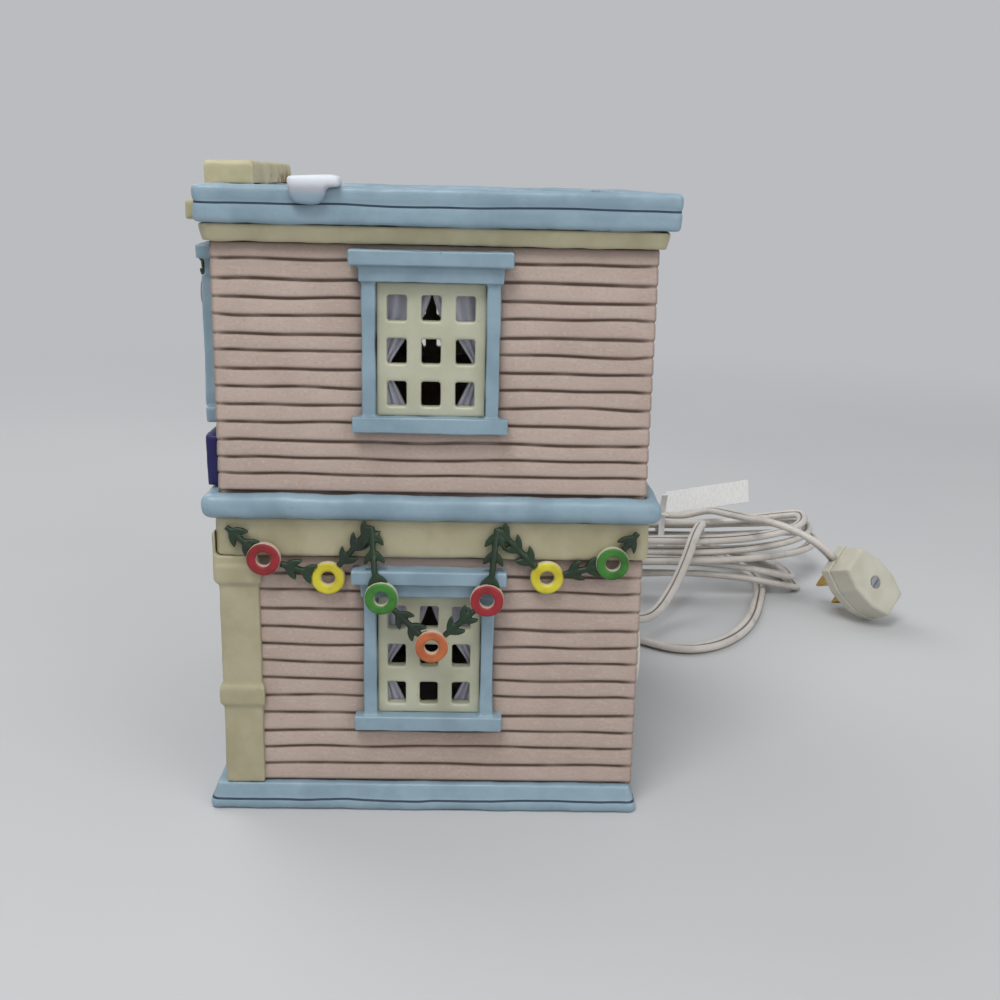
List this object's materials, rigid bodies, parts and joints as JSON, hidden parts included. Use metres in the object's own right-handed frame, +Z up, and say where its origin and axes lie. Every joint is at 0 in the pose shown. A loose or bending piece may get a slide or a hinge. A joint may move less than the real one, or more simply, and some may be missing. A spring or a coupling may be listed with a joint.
{
  "type": "lighted ceramic village house",
  "caption": "Two-storey clapboard ceramic house with framed windows and a candy-ring garland, lit from inside by a clip-in lamp on a hanked cord with a plug.",
  "frame": {"origin": "on the floor under the middle of the house's walls", "axes": "+Z up, the shop front faces -Y, the lamp and its cord are at the back, +Y"},
  "size_m": [0.3106, 0.2952, 0.2081],
  "materials": {
    "pink_bisque": "matte painted bisque",
    "blue_paint": "satin painted bisque",
    "cream_paint": "satin painted bisque",
    "door_paint": "satin painted bisque",
    "snow_white": "gloss",
    "navy_paint": "satin painted bisque",
    "red_candy": "gloss",
    "yellow_candy": "gloss",
    "green_candy": "gloss",
    "orange_candy": "gloss",
    "leaf_green": "satin painted bisque",
    "curtain_white": "matte painted bisque",
    "holder_plastic": "gloss",
    "plug_plastic": "satin",
    "cord_plastic": "satin",
    "tie_plastic": "satin",
    "tag_paper": "matte",
    "brass": "polished",
    "steel": "brushed",
    "bulb_glass": "clear"
  },
  "bodies": {
    "house": {"back_wall": "pink_bisque", "belt_fascia": "cream_paint", "belt_ledge": "blue_paint", "corner_post_left": "cream_paint", "corner_post_right": "cream_paint", "cornice": "blue_paint", "cornice_moulding": "cream_paint", "curtains_front": "curtain_white", "curtains_left": "curtain_white", "curtains_right": "curtain_white", "door_surround": "blue_paint", "front_door": "door_paint", "front_wall": "pink_bisque", "garland_front": "leaf_green", "garland_left": "leaf_green", "garland_right": "leaf_green", "left_wall": "pink_bisque", "plinth": "blue_paint", "right_wall": "pink_bisque", "ring_candies_green": "green_candy", "ring_candies_orange": "orange_candy", "ring_candies_red": "red_candy", "ring_candies_yellow": "yellow_candy", "roof_deck": "pink_bisque", "roof_snow": "snow_white", "sign_board": "navy_paint", "sign_pediment": "cream_paint", "window_sash_front_lower": "cream_paint", "window_sash_front_upper_left": "cream_paint", "window_sash_front_upper_right": "cream_paint", "window_sash_left_lower": "cream_paint", "window_sash_left_upper": "cream_paint", "window_sash_right_lower": "cream_paint", "window_sash_right_upper": "cream_paint", "window_surround_front_lower": "blue_paint", "window_surround_front_upper_left": "blue_paint", "window_surround_front_upper_right": "blue_paint", "window_surround_left_lower": "blue_paint", "window_surround_left_upper": "blue_paint", "window_surround_right_lower": "blue_paint", "window_surround_right_upper": "blue_paint"},
    "light_kit": {"holder_body": "holder_plastic", "screw_shell": "brass", "centre_contact": "brass", "spring_clips": "steel", "holder_cap": "holder_plastic", "strain_relief": "cord_plastic", "cord_lead": "cord_plastic", "cord_hank": "cord_plastic", "plug_lead": "cord_plastic", "cord_tie": "tie_plastic", "cord_tag": "tag_paper", "plug_base": "plug_plastic", "plug_cover": "plug_plastic", "plug_screw": "steel", "plug_pins": "brass"},
    "bulb": {"bulb_cap": "brass", "bulb_glass": "bulb_glass"}
  },
  "joints": [
    {"name": "light_kit_pull", "type": "slide", "parent": "house", "child": "light_kit", "axis": [0, 1, 0], "range_m": [0, 0.08]},
    {"name": "bulb_turn", "type": "hinge", "parent": "light_kit", "child": "bulb", "pos_m": [0, 0.05, 0.03], "axis": [0, -1, 0], "range_deg": [0, 1080]}
  ]
}
